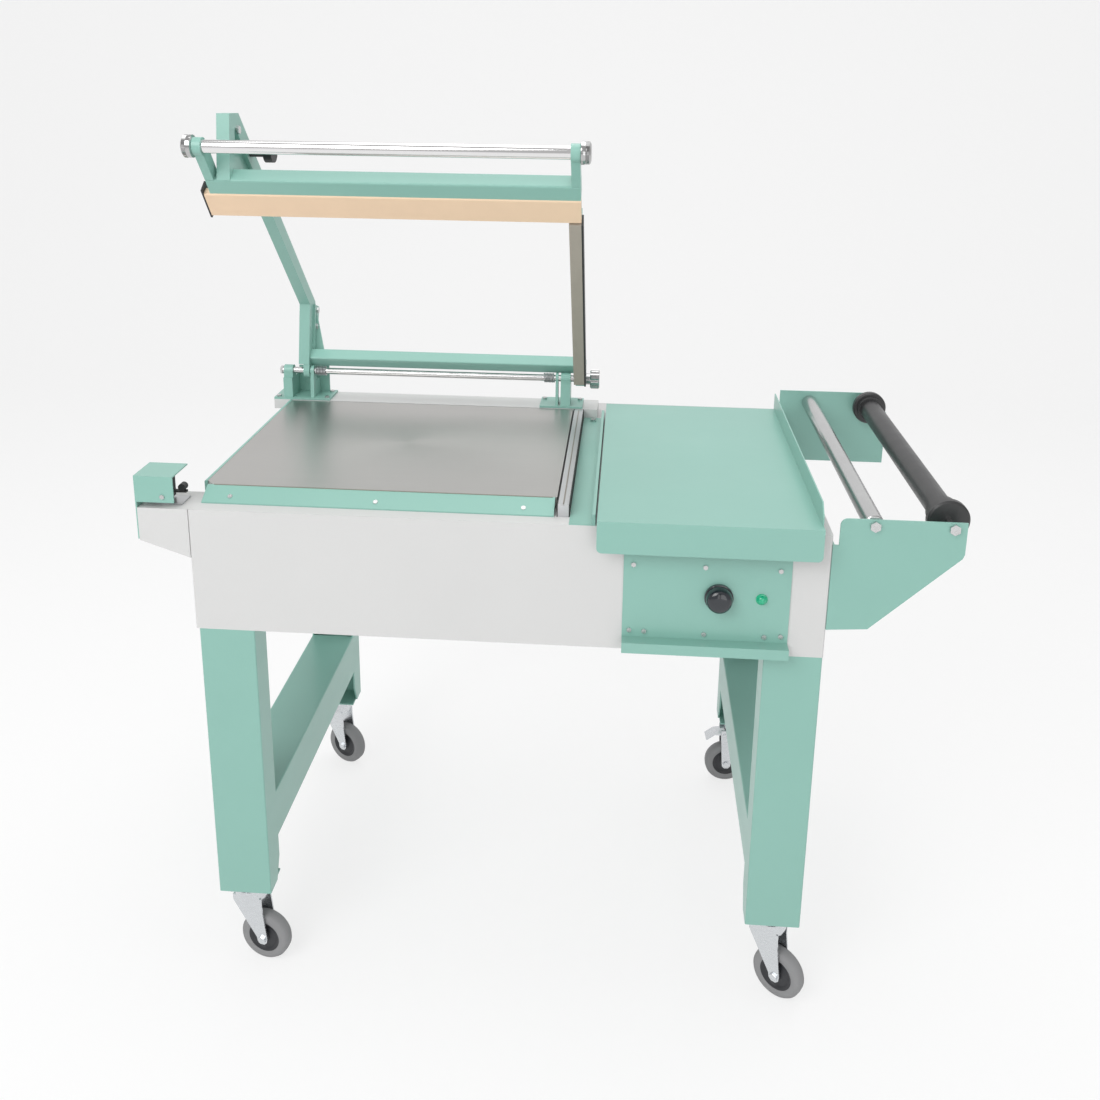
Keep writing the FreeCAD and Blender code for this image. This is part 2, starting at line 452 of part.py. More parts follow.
def end_cap(x0, x1, outer_x):
    cap = rod_x(x0, x1, HANDLE_Y, HANDLE_Z, HANDLE_CAP_RADIUS)
    cap = chamfered(cap, 3.0, lambda c: abs(c.x - outer_x) < 0.01)
    return cap.cut(rod_x(-12 - SEAT_GAP, 608 + SEAT_GAP, HANDLE_Y, HANDLE_Z, HANDLE_RADIUS + SEAT_GAP))


arm_nodes["handle_caps"] = group([end_cap(-16, 1, -16), end_cap(595, 612, 612)])

shaft_start, shaft_end = -16.0, 604.0
arm_nodes["hinge_shaft"] = rod_x(shaft_start, shaft_end, HINGE_Y, HINGE_Z, SHAFT_RADIUS)
for name in ("gooseneck_arm", "side_arm"):
    arm_nodes[name] = arm_nodes[name].cut(rod_x(-50, 650, HINGE_Y, HINGE_Z, SHAFT_RADIUS + SEAT_GAP))

knob = rod_x(604, 622, HINGE_Y, HINGE_Z, 19.0)
knob = chamfered(knob, 2.0, lambda c: True)
lobes = [rod_x(600, 630, HINGE_Y + 23 * math.cos(math.radians(a)), HINGE_Z + 23 * math.sin(math.radians(a)), 6)
         for a in range(0, 360, 45)]
knob = knob.cut(Part.makeCompound(lobes))
collar_ring = rod_x(595.1, 606, HINGE_Y, HINGE_Z, 11.0).cut(rod_x(590, 604, HINGE_Y, HINGE_Z, SHAFT_RADIUS + SEAT_GAP))
arm_nodes["shaft_knob"] = join([knob, collar_ring])

bolts = [screw(GOOSENECK_RIGHT, -45, 961, 7.0, 4.5, V(1, 0, 0))]
bolts += [screw(GOOSENECK_RIGHT + 4, y, z, 6.0, 4.0, V(1, 0, 0)) for y, z in ((492, 1036), (512, 1010))]
bolts += [screw(shaft_start, HINGE_Y, HINGE_Z, 9.0, 4.0, V(-1, 0, 0))]
arm_nodes["arm_bolts"] = group(bolts)
plunger = rod_x(GOOSENECK_RIGHT, GOOSENECK_RIGHT + 26, 20, 983, 9.0)
disc = rod_x(GOOSENECK_RIGHT + 26, GOOSENECK_RIGHT + 40, 20, 983, 18.0)
arm_nodes["arm_stop"] = join([plunger, disc])

for name, shape in arm_nodes.items():
    raised = shape.copy()
    raised.rotate(V(0, HINGE_Y, HINGE_Z), V(1, 0, 0), -ARM_OPEN_ANGLE)
    nodes[name] = raised

# ======================= casters =======================
CASTERS = [("front_left", LEG_LEFT_X + LEG_WIDTH / 2, SWIVEL_INSET, -12.0, False),
           ("front_right", LEG_RIGHT_X + LEG_WIDTH / 2, SWIVEL_INSET, -36.0, False),
           ("rear_left", LEG_LEFT_X + LEG_WIDTH / 2, CABINET_DEPTH - SWIVEL_INSET, -27.0, False),
           ("rear_right", LEG_RIGHT_X + LEG_WIDTH / 2, CABINET_DEPTH - SWIVEL_INSET, 184.0, True)]
CHEEK_IN, CHEEK_OUT = 14.5, 17.5
AXLE_Z = WHEEL_RADIUS


def caster_fork(with_brake):
    head = rod_z(0, 0, 128, 145.5, 29.0)
    crown = flat_plate([(-27, -CHEEK_OUT), (20, -CHEEK_OUT), (27, -8), (27, 8), (20, CHEEK_OUT), (-27, CHEEK_OUT)],
                       124, 128.5)
    reach = 38.0 if with_brake else 26.0
    # Each cheek tapers from the crown to a blunt tip round the axle.
    tip = [(CASTER_TRAIL - 10, AXLE_Z + 3), (CASTER_TRAIL - 9, AXLE_Z - 5), (CASTER_TRAIL - 4, AXLE_Z - 10),
           (CASTER_TRAIL + 4, AXLE_Z - 10), (CASTER_TRAIL + 9, AXLE_Z - 5), (CASTER_TRAIL + 10, AXLE_Z + 3)]
    cheek_points = [(-28, 128), (-28, 116)] + tip + [(reach, 112), (reach, 128)]
    pieces = [head, crown]
    for y in (-CHEEK_OUT, CHEEK_IN):
        pieces.append(front_plate(cheek_points, y, y + CHEEK_OUT - CHEEK_IN))
    pieces.append(rod_y(CASTER_TRAIL, -CHEEK_OUT - 3, CHEEK_OUT + 3, AXLE_Z, AXLE_RADIUS))
    made = join(pieces)
    made = made.cut(rod_z(0, 0, 100, 160, KINGPIN_RADIUS + RUNNING_FIT))
    if with_brake:
        made = made.cut(rod_y(BRAKE_X, -30, 30, BRAKE_Z, 3.0 + RUNNING_FIT))
    return made


BRAKE_X, BRAKE_Z = 31.0, 118.0


def brake_pedal():
    pin = rod_y(BRAKE_X, -CHEEK_OUT - 1.5, CHEEK_OUT + 1.5, BRAKE_Z, 3.0)
    tread = front_plate([(BRAKE_X - 2, BRAKE_Z + 4), (BRAKE_X + 22, BRAKE_Z + 1), (BRAKE_X + 40, BRAKE_Z - 12),
                         (BRAKE_X + 38, BRAKE_Z - 15), (BRAKE_X + 21, BRAKE_Z - 2.5), (BRAKE_X - 2, BRAKE_Z - 3)],
                        -CHEEK_IN + 0.5, CHEEK_IN - 0.5)
    return join([pin, tread])


def wheel_hub():
    disc = chamfered(rod_y(CASTER_TRAIL, -13.5, 13.5, AXLE_Z, HUB_RADIUS - SEAT_GAP), 2.5, lambda c: True)
    return disc.cut(rod_y(CASTER_TRAIL, -30, 30, AXLE_Z, AXLE_RADIUS + RUNNING_FIT))


def wheel_tyre():
    half = WHEEL_WIDTH / 2
    outline = [(HUB_RADIUS, 1 - half), (WHEEL_RADIUS - 5, -half), (WHEEL_RADIUS, 5 - half), (WHEEL_RADIUS, half - 5),
               (WHEEL_RADIUS - 5, half), (HUB_RADIUS, half - 1)]
    points = [V(CASTER_TRAIL + radius, y, AXLE_Z) for radius, y in outline]
    ring = Part.Face(Part.makePolygon(points + [points[0]]))
    return ring.revolve(V(CASTER_TRAIL, 0, AXLE_Z), V(0, 1, 0), 360)


plates = []
for name, x, y, heading, braked in CASTERS:
    placed = {"fork": caster_fork(braked), "hub": wheel_hub(), "tyre": wheel_tyre()}
    if braked:
        placed["brake"] = brake_pedal()
    for piece, shape in placed.items():
        shape = shape.copy()
        shape.rotate(V(0, 0, 0), V(0, 0, 1), heading)
        shape.translate(V(x, y, 0))
        nodes[name + "_" + piece] = shape
    plate = block(x - 28, x + 28, y - 28, y + 28, 146, LEG_BOTTOM)
    pin = rod_z(x, y, 126, 147, KINGPIN_RADIUS)
    washer = rod_z(x, y, 120.5, 123.7, 9.0)
    stud = rod_z(x, y, 123, 127, KINGPIN_RADIUS)
    plates.append(join([plate, pin, stud, washer]))
nodes["caster_plates"] = group(plates)

# ======================= origin and export =======================
box = FreeCAD.BoundBox()
for shape in nodes.values():
    box.add(shape.optimalBoundingBox(False))
shift = V(-(box.XMin + box.XMax) / 2, -(box.YMin + box.YMax) / 2, -box.ZMin)
for name, shape in nodes.items():
    moved = shape.copy()
    moved.translate(shift)
    moved.exportStep("parts/" + name + ".step")
print("shift", shift.x, shift.y, shift.z, "size", box.XLength, box.YLength, box.ZLength, "nodes", len(nodes))
for name, shape in nodes.items():
    if not shape.isValid():
        print("INVALID", name)
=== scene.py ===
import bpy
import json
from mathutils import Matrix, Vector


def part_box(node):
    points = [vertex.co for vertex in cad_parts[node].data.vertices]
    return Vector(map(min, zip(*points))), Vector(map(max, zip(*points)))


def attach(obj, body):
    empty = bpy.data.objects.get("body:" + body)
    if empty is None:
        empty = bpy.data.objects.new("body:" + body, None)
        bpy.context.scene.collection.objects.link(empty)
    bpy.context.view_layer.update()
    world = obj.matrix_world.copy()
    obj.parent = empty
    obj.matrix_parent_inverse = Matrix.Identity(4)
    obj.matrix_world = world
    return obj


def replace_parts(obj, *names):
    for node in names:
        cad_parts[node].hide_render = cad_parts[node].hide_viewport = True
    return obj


bl_info = {
    "name": "L-Bar Sealer",
    "version": (1, 0, 0),
    "blender": (4, 5, 0),
    "location": "View3D > Sidebar > Sealer",
    "description": "Dresses the packed film sealer with detailed pieces, finishes, a stage and a camera",
    "category": "Object",
}

import json
import math

import bmesh
import bpy
from mathutils import Matrix, Vector

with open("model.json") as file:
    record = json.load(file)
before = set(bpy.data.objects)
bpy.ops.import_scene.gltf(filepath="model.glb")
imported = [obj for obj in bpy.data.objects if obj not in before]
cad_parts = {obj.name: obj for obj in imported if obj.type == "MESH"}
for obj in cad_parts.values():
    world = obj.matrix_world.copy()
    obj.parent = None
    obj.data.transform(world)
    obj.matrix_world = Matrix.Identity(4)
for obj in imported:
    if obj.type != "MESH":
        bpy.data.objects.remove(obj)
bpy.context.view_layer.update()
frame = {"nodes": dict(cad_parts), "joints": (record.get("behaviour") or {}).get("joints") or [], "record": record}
NODES = frame["nodes"]
JOINTS = {joint["name"]: joint for joint in frame["joints"]}
SLOT_OF = {part["node"]: part["material_slot"] for part in frame["record"]["subparts"]}

CABINET_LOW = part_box("cabinet_shell")[0]
HINGE = Vector(JOINTS["arm_hinge"]["pos_m"])
ARM_SWING = math.radians(JOINTS["arm_hinge"]["range_deg"][1])
MM = 0.001


def at(x, y, z):
    """A point given in millimetres from the cabinet's front left foot, in the row frame."""
    return Vector((CABINET_LOW.x + x * MM, CABINET_LOW.y + y * MM, z * MM))


def in_drawing(point):
    """A point of the row frame, in millimetres from the cabinet's front left foot."""
    return (Vector(point) - at(0, 0, 0)) / MM


# Pieces of the arm are drawn closed and raised about the hinge; all others stand as drawn.
ORIGIN = Matrix.Translation(at(0, 0, 0))
RAISED = (Matrix.Translation(HINGE) @ Matrix.Rotation(-ARM_SWING, 4, "X")
          @ Matrix.Translation(-HINGE) @ ORIGIN)


# ---------------------------------------------------------------- settings

def colour_setting(name, description, default):
    return bpy.props.FloatVectorProperty(
        name=name, description=description, subtype="COLOR", size=3, min=0, max=1, default=default)


class SealerColours(bpy.types.PropertyGroup):
    """Finish colours of the sealer"""

    green: colour_setting(
        "Green paint", "Powder coat on the stand, arm, tray and panel", (0.246, 0.470, 0.405))
    grey: colour_setting("Grey paint", "Powder coat on the cabinet", (0.62, 0.62, 0.615))
    plate: colour_setting("Work plate", "Brushed steel of the work table", (0.50, 0.49, 0.475))
    pad: colour_setting("Front pad", "Silicone sponge on the front bar", (0.83, 0.62, 0.44))
    # Side pad colour is the front pad's beige sponge darkened with painted shade, because the side bar lies in
    # shade
    side_pad: colour_setting("Side pad", "Silicone sponge on the side bar", (0.40, 0.36, 0.31))
    tyre: colour_setting("Caster tyre", "Grey rubber of the caster wheels", (0.27, 0.27, 0.275))
    floor: colour_setting("Floor", "Pale studio floor and backdrop", (0.90, 0.90, 0.90))


class SealerSizes(bpy.types.PropertyGroup):
    """Sizes of the dressed details"""

    fold_radius: bpy.props.FloatProperty(
        name="Fold radius", description="Rounding on the folded sheet edges",
        subtype="DISTANCE", unit="LENGTH", default=0.0012, min=0.0002, max=0.004)
    lens: bpy.props.FloatProperty(
        name="Camera lens", description="Focal length of the view camera",
        subtype="DISTANCE_CAMERA", default=36.03, min=20, max=80)


# ---------------------------------------------------------------- shader parts

NOISE_MEAN = 0.5
CLOUD_SCALE, PEEL_SCALE, SMEAR_SCALE = 5.0, 900.0, 11.0
PEEL_CONTRAST = 0.03
BROAD_SCALE, BROAD_CONTRAST = 4.0, 0.10
PATCH_SCALE = 30.0
COAT_ROUGHNESS = 0.12


def new_group(name, *inputs):
    """An effect group that takes a colour and other inputs, and gives colour, roughness, height."""
    group = bpy.data.node_groups.new(name, "ShaderNodeTree")
    for label, value in (("Colour", (0.5, 0.5, 0.5, 1)),) + inputs:
        kind = "NodeSocketFloat"
        if isinstance(value, tuple):
            kind = "NodeSocketColor" if len(value) == 4 else "NodeSocketVector"
        socket = group.interface.new_socket(name=label, in_out="INPUT", socket_type=kind)
        socket.default_value = value
    for label, kind in (("Colour", "NodeSocketColor"), ("Roughness", "NodeSocketFloat"),
                        ("Height", "NodeSocketFloat")):
        group.interface.new_socket(name=label, in_out="OUTPUT", socket_type=kind)
    return group, group.nodes.new("NodeGroupInput"), group.nodes.new("NodeGroupOutput")


def add(tree, kind, **settings):
    node = tree.nodes.new(kind)
    for key, value in settings.items():
        setattr(node, key, value)
    return node


def feed(tree, value, socket):
    """Links an output to the socket, or sets the socket to a plain value."""
    if hasattr(value, "is_output"):
        tree.links.new(value, socket)
    else:
        socket.default_value = value


def noise(tree, vector, scale, detail, rough):
    node = add(tree, "ShaderNodeTexNoise")
    node.inputs["Detail"].default_value = detail
    node.inputs["Roughness"].default_value = rough
    feed(tree, scale, node.inputs["Scale"])
    tree.links.new(vector, node.inputs["Vector"])
    return node.outputs["Fac"]


def maths(tree, operation, *values):
    node = add(tree, "ShaderNodeMath", operation=operation)
    for value, socket in zip(values, node.inputs):
        feed(tree, value, socket)
    return node.outputs[0]


def swing(tree, value):
    """A noise value moved so that it lies about zero."""
    return maths(tree, "SUBTRACT", value, NOISE_MEAN)


def around(tree, change, amount, base):
    """The base value, raised and lowered by the amount times the change."""
    return maths(tree, "MULTIPLY_ADD", change, amount, base)


def object_vector(tree, stretch=(1, 1, 1)):
    coordinates = add(tree, "ShaderNodeTexCoord")
    mapping = add(tree, "ShaderNodeMapping")
    mapping.inputs["Scale"].default_value = stretch
    tree.links.new(coordinates.outputs["Object"], mapping.inputs["Vector"])
    return mapping.outputs["Vector"]


def close_group(group, source, sink, shade, rough, height):
    """Gives out the colour made lighter or darker by the shade, the roughness and the height."""
    tint = add(group, "ShaderNodeVectorMath", operation="SCALE")
    group.links.new(source.outputs["Colour"], tint.inputs[0])
    group.links.new(shade, tint.inputs["Scale"])
    group.links.new(tint.outputs[0], sink.inputs["Colour"])
    group.links.new(rough, sink.inputs["Roughness"])
    group.links.new(height, sink.inputs["Height"])
    return group


def powder_coat_group():
    """Orange peel, faint cloudiness and a few dull spots of a baked powder coat."""
    group, source, sink = new_group(
        "Powder Coat", ("Cloud", 0.05), ("Roughness", 0.4), ("Spread", 0.1))
    vector = object_vector(group)
    cloud = noise(group, vector, CLOUD_SCALE, 4.0, 0.55)
    peel = noise(group, vector, PEEL_SCALE, 1.0, 0.4)
    shade = around(group, swing(group, cloud), source.outputs["Cloud"], 1.0)
    shade = around(group, swing(group, peel), PEEL_CONTRAST, shade)
    smear = noise(group, object_vector(group, (1, 1, 3)), SMEAR_SCALE, 3.0, 0.6)
    rough = around(group, swing(group, smear), source.outputs["Spread"],
                   source.outputs["Roughness"])
    return close_group(group, source, sink, shade, rough, peel)


def brushed_group():
    """Fine parallel scratches that run along one axis."""
    group, source, sink = new_group(
        "Brushed Grain", ("Along", (1, 1, 1)), ("Contrast", 0.2), ("Roughness", 0.3),
        ("Spread", 0.2))
    coordinates = add(group, "ShaderNodeTexCoord")
    stretched = add(group, "ShaderNodeVectorMath", operation="MULTIPLY")
    group.links.new(coordinates.outputs["Object"], stretched.inputs[0])
    group.links.new(source.outputs["Along"], stretched.inputs[1])
    streak = noise(group, stretched.outputs[0], 1.0, 5.0, 0.65)
    broad = noise(group, coordinates.outputs["Object"], BROAD_SCALE, 3.0, 0.5)
    change = swing(group, streak)
    shade = around(group, change, source.outputs["Contrast"], 1.0)
    shade = around(group, swing(group, broad), BROAD_CONTRAST, shade)
    rough = around(group, change, source.outputs["Spread"], source.outputs["Roughness"])
    return close_group(group, source, sink, shade, rough, streak)


def grain_group():
    """Soft mottling with small pits, for rubber, sponge and moulded plastic."""
    group, source, sink = new_group(
        "Moulded Grain", ("Pit Scale", 500.0), ("Mottle", 0.15), ("Roughness", 0.6),
        ("Spread", 0.2))
    vector = object_vector(group)
    pits = noise(group, vector, source.outputs["Pit Scale"], 3.0, 0.6)
    change = swing(group, noise(group, vector, PATCH_SCALE, 4.0, 0.6))
    shade = around(group, change, source.outputs["Mottle"], 1.0)
    rough = around(group, change, source.outputs["Spread"], source.outputs["Roughness"])
    return close_group(group, source, sink, shade, rough, pits)


EFFECTS = {}
MATERIALS = {}


def finish(name, effect, colour, inputs, metallic=0.0, bump=0.1, depth=0.0002, coat=0.0,
           specular=0.5, anisotropic=0.0):
    """A Principled material whose colour, roughness and bump come from one shared effect group."""
    material = bpy.data.materials.new(name)
    material.use_nodes = True
    tree = material.node_tree
    tree.nodes.clear()
    output = add(tree, "ShaderNodeOutputMaterial")
    shader = add(tree, "ShaderNodeBsdfPrincipled")
    shader.inputs["Metallic"].default_value = metallic
    shader.inputs["Specular IOR Level"].default_value = specular
    shader.inputs["Coat Weight"].default_value = coat
    shader.inputs["Coat Roughness"].default_value = COAT_ROUGHNESS
    shader.inputs["Anisotropic"].default_value = anisotropic
    group = add(tree, "ShaderNodeGroup", node_tree=EFFECTS[effect])
    group.inputs["Colour"].default_value = (*colour, 1)
    for key, value in inputs.items():
        group.inputs[key].default_value = value
    height = add(tree, "ShaderNodeBump")
    height.inputs["Strength"].default_value = bump
    height.inputs["Distance"].default_value = depth
    tree.links.new(group.outputs["Colour"], shader.inputs["Base Color"])
    tree.links.new(group.outputs["Roughness"], shader.inputs["Roughness"])
    tree.links.new(group.outputs["Height"], height.inputs["Height"])
    tree.links.new(height.outputs["Normal"], shader.inputs["Normal"])
    tree.links.new(shader.outputs["BSDF"], output.inputs["Surface"])
    MATERIALS[name] = material


def metal(name, colour, along, contrast, roughness, spread, **extras):
    """A bare metal with scratches; along is the grain's density on each axis."""
    finish(name, "brushed", colour,
           {"Along": along, "Contrast": contrast, "Roughness": roughness, "Spread": spread},
           metallic=1.0, **extras)


def build_finishes(colours):
    EFFECTS["coat"] = powder_coat_group()
    EFFECTS["brushed"] = brushed_group()
    EFFECTS["grain"] = grain_group()

    finish("green_paint", "coat", colours.green,
           {"Cloud": 0.07, "Roughness": 0.36, "Spread": 0.12},
           bump=0.18, depth=0.00015, coat=0.15)
    finish("grey_paint", "coat", colours.grey,
           {"Cloud": 0.05, "Roughness": 0.42, "Spread": 0.12},
           bump=0.18, depth=0.00015, coat=0.08)

    along_x, along_y = (6.0, 1500.0, 1500.0), (1500.0, 6.0, 1500.0)
    metal("brushed_plate", colours.plate, along_x, 0.30, 0.34, 0.22, anisotropic=0.4)
    metal("jaw_aluminium", (0.62, 0.63, 0.64), along_y, 0.2, 0.38, 0.2)
    metal("seal_wire", (0.36, 0.33, 0.29), along_x, 0.35, 0.35, 0.2)
    metal("screw_steel", (0.60, 0.60, 0.60), (300.0, 300.0, 300.0), 0.25, 0.28, 0.2)
    metal("zinc_steel", (0.52, 0.53, 0.54), (60.0, 60.0, 300.0), 0.3, 0.34, 0.25)
    metal("bright_steel", (0.56, 0.56, 0.56), (40.0, 40.0, 40.0), 0.2, 0.24, 0.16)
    metal("handle_chrome", (0.78, 0.77, 0.77), (30.0, 200.0, 200.0), 0.06, 0.09, 0.06, bump=0.02)
    metal("cap_chrome", (0.50, 0.50, 0.50), (200.0, 60.0, 60.0), 0.15, 0.14, 0.1)
    metal("caster_zinc", (0.66, 0.68, 0.70), (90.0, 90.0, 500.0), 0.25, 0.26, 0.25)

    finish("black_rubber", "grain", (0.018, 0.018, 0.018), {"Roughness": 0.7})
    finish("lamp_lens", "grain", (0.0, 0.40, 0.20),
           {"Mottle": 0.3, "Roughness": 0.12, "Spread": 0.05}, coat=0.8)
    finish("knob_black", "grain", (0.010, 0.014, 0.020),
           {"Mottle": 0.3, "Roughness": 0.16, "Spread": 0.06}, coat=0.6)
    finish("black_plastic", "grain", (0.022, 0.022, 0.023), {"Roughness": 0.48}, bump=0.2)
    finish("roller_black", "grain", (0.030, 0.030, 0.031),
           {"Pit Scale": 700.0, "Mottle": 0.4, "Roughness": 0.40, "Spread": 0.25},
           bump=0.25, coat=0.1)
    finish("pad_beige", "grain", colours.pad,
           {"Pit Scale": 900.0, "Mottle": 0.08, "Roughness": 0.72, "Spread": 0.1},
           bump=0.35, specular=0.25)
    # pad_taupe is a darker copy of the beige pad, with painted shade for the side bar
    finish("pad_taupe", "grain", colours.side_pad,
           {"Pit Scale": 900.0, "Mottle": 0.14, "Roughness": 0.70, "Spread": 0.1},
           bump=0.35, specular=0.25)
    finish("hub_plastic", "grain", (0.022, 0.023, 0.027),
           {"Roughness": 0.42, "Spread": 0.2}, bump=0.2)
    finish("tyre_grey", "grain", colours.tyre,
           {"Pit Scale": 600.0, "Mottle": 0.16, "Roughness": 0.62}, bump=0.25, specular=0.3)


# ---------------------------------------------------------------- mesh helpers

WELD_MM = 0.0005
AXIS_RADIUS_MM = 0.001
PIECE_SHARP = math.radians(38)
CAD_SHARP = math.radians(32)
FLAT_ANGLE = math.radians(1.0)
FOLD_ANGLE = math.radians(40)


def piece(name, build, slot, body, place=ORIGIN, smooth=True, bevel=0.0):
    """A new object made by build(bm) in millimetres, in the drawn position, riding on a body."""
    mesh = bpy.data.meshes.new(name)
    bm = bmesh.new()
    build(bm)
    bmesh.ops.remove_doubles(bm, verts=bm.verts, dist=WELD_MM)
    bmesh.ops.recalc_face_normals(bm, faces=bm.faces)
    bmesh.ops.scale(bm, vec=(MM, MM, MM), verts=bm.verts)
    bmesh.ops.transform(bm, matrix=place, verts=bm.verts)
    bm.to_mesh(mesh)
    bm.free()
    made = bpy.data.objects.new(name, mesh)
    bpy.context.scene.collection.objects.link(made)
    mesh.materials.append(MATERIALS[slot])
    if bevel:
        round_edges(made, bevel)
    if smooth:
        for polygon in mesh.polygons:
            polygon.use_smooth = True
        mesh.set_sharp_from_angle(angle=PIECE_SHARP)
    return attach(made, body)


def merge_flats(made):
    flat = made.modifiers.new("Merge flats", "DECIMATE")
    flat.decimate_type = "DISSOLVE"
    flat.angle_limit = FLAT_ANGLE


def round_edges(made, width):
    soft = made.modifiers.new("Soft edges", "BEVEL")
    soft.width = width
    soft.segments = 2
    soft.limit_method = "ANGLE"
    soft.angle_limit = FOLD_ANGLE
    soft.harden_normals = False


def turns_of(steps):
    """The angles of a full circle in equal steps."""
    return [2 * math.pi * step / steps for step in range(steps)]


def lathe(bm, profile, axis_point, axis, steps=48):
    """Turns a profile of (along, radius) pairs about an axis."""
    axis = Vector(axis).normalized()
    side = axis.orthogonal().normalized()
    other = axis.cross(side)
    rings = []
    for along, radius in profile:
        centre = Vector(axis_point) + axis * along
        if radius < AXIS_RADIUS_MM:
            rings.append([bm.verts.new(centre)])
            continue
        rings.append([
            bm.verts.new(centre + (side * math.cos(turn) + other * math.sin(turn)) * radius)
            for turn in turns_of(steps)])
    for lower, upper in zip(rings, rings[1:]):
        for step in range(steps):
            nxt = (step + 1) % steps
            corners = [lower[step % len(lower)], lower[nxt % len(lower)],
                       upper[nxt % len(upper)], upper[step % len(upper)]]
            unique = list(dict.fromkeys(corners))
            if len(unique) >= 3:
                bm.faces.new(unique)


def extrude_outline(bm, points, direction):
    """A closed outline pushed along a direction, with both ends capped."""
    low = [bm.verts.new(Vector(point)) for point in points]
    high = [bm.verts.new(Vector(point) + Vector(direction)) for point in points]
    bm.faces.new(low)
    bm.faces.new(high[::-1])
    for index in range(len(points)):
        nxt = (index + 1) % len(points)
        bm.faces.new([low[index], low[nxt], high[nxt], high[index]])


def brick(bm, low, high):
    x0, y0, z0 = low
    x1, y1, z1 = high
    extrude_outline(bm, [(x0, y0, z0), (x1, y0, z0), (x1, y1, z0), (x0, y1, z0)], (0, 0, z1 - z0))


def coil(bm, start, radius, wire, turns, pitch):
    """A round-wire coil about the X axis through a start point, with capped ends."""
    rings = []
    for step in range(COIL_STEPS * turns + 1):
        turn = 2 * math.pi * step / COIL_STEPS
        out = Vector((0, math.cos(turn), math.sin(turn)))
        centre = Vector(start) + Vector((pitch * step / COIL_STEPS, 0, 0)) + out * radius
        rings.append([
            bm.verts.new(centre + out * (wire * math.cos(a)) + Vector((wire * math.sin(a), 0, 0)))
            for a in turns_of(WIRE_STEPS)])
    for first, second in zip(rings, rings[1:]):
        for k in range(WIRE_STEPS):
            nxt = (k + 1) % WIRE_STEPS
            bm.faces.new([first[k], first[nxt], second[nxt], second[k]])
    bm.faces.new(rings[0])
    bm.faces.new(rings[-1][::-1])


# ---------------------------------------------------------------- sizes of the pieces, in mm

HEXAGON = 6
SMALL_STEPS = 48
ROUND_STEPS = 64
TYRE_STEPS = 72
COIL_STEPS = 20
WIRE_STEPS = 8

# Profiles are (along the axis, radius) pairs.
TYRE_PROFILE = (
    (-11, 29), (-12, 33), (-12, 38), (-10.6, 42), (-7, 44.4), (0, 45), (7, 44.4), (10.6, 42),
    (12, 38), (12, 33), (11, 29), (-11, 29))
HUB_PROFILE = (
    (-13.4, 0), (-13.4, 9), (-12.4, 10), (-9, 10.6), (-8, 13), (-8, 23), (-10.4, 25.6),
    (-11, 28.9), (11, 28.9), (10.4, 25.6), (8, 23), (8, 13), (9, 10.6), (12.4, 10), (13.4, 9),
    (13.4, 0))
KNOB_PROFILE = (
    (0, 0), (0, 21.4), (0.6, 22), (5, 22), (5.8, 20.4), (15, 19.8), (19.5, 18), (22.2, 14),
    (23.4, 8), (23.6, 0))
LAMP_PROFILE = (
    (0, 0), (0, 9), (1.4, 9), (2, 7.9), (2.2, 7.3), (4.4, 6.9), (6.4, 5.2), (7.5, 2.8), (7.9, 0))
CAP_PROFILE = (
    (0, 0), (0, 12), (1, 15), (2.2, 16.6), (3.2, 17.6), (4, 16.8), (5, 17.8), (6, 16.8),
    (7, 17.8), (8, 16.8), (9, 17.6), (10, 17.6), (12, 17.9), (15.6, 17.6), (16.9, 15),
    (16.9, 10.7))
NUT_PROFILE = ((0, 0), (0, 7.4), (2.8, 7.4), (3.4, 6.6), (3.4, 0))

CASTER_NAMES = ("front_left", "front_right", "rear_left", "rear_right")
NUT_SEAT = 17.5

PANEL_FACE_Y = -2
KNOB_SEAT_Y = -2.6
POINTER_LOW = (-1, -26.4, 5)
POINTER_HIGH = (1, -22, 15)

HANDLE_Y, HANDLE_Z = -78, 884
HANDLE_LEFT_X, HANDLE_RIGHT_X = -16, 612
HINGE_Y, HINGE_Z = 553, 929
SPRING_STARTS_X = (51.5, 512)
SPRING_RADIUS, SPRING_WIRE = 8.4, 1.2
SPRING_TURNS, SPRING_PITCH = 7, 3.0

WEB_OUTLINE = ((27.5, -52, 956.5), (27.5, 60, 970.8), (27.5, 60, 904.5), (27.5, -6, 904.5))
WEB_THICKNESS = (6, 0, 0)
GUSSET_OUTLINE = ((40.8, 482, 1049), (40.8, 552, 966.2), (64, 552, 966.2))
GUSSET_THICKNESS = (0, -3, -2.5)
PLATE_EDGE_M = 0.0005

THIN_EDGE_M = 0.0004
SHEET_EDGE_M = 0.0006
THIN_NODES = ("switch_bracket", "tray_rails")
SHEET_NODES = (
    "film_tray", "control_panel", "front_supply_bracket", "rear_supply_bracket", "work_plate",
    "side_table", "latch_hood", "left_hinge_tower", "right_hinge_tower", "side_jaw", "front_jaw")
FOLDED_NODES = (
    "cabinet_shell", "rear_hinge_beam", "left_end_box", "gooseneck_arm", "front_channel",
    "side_arm")


# ---------------------------------------------------------------- operators

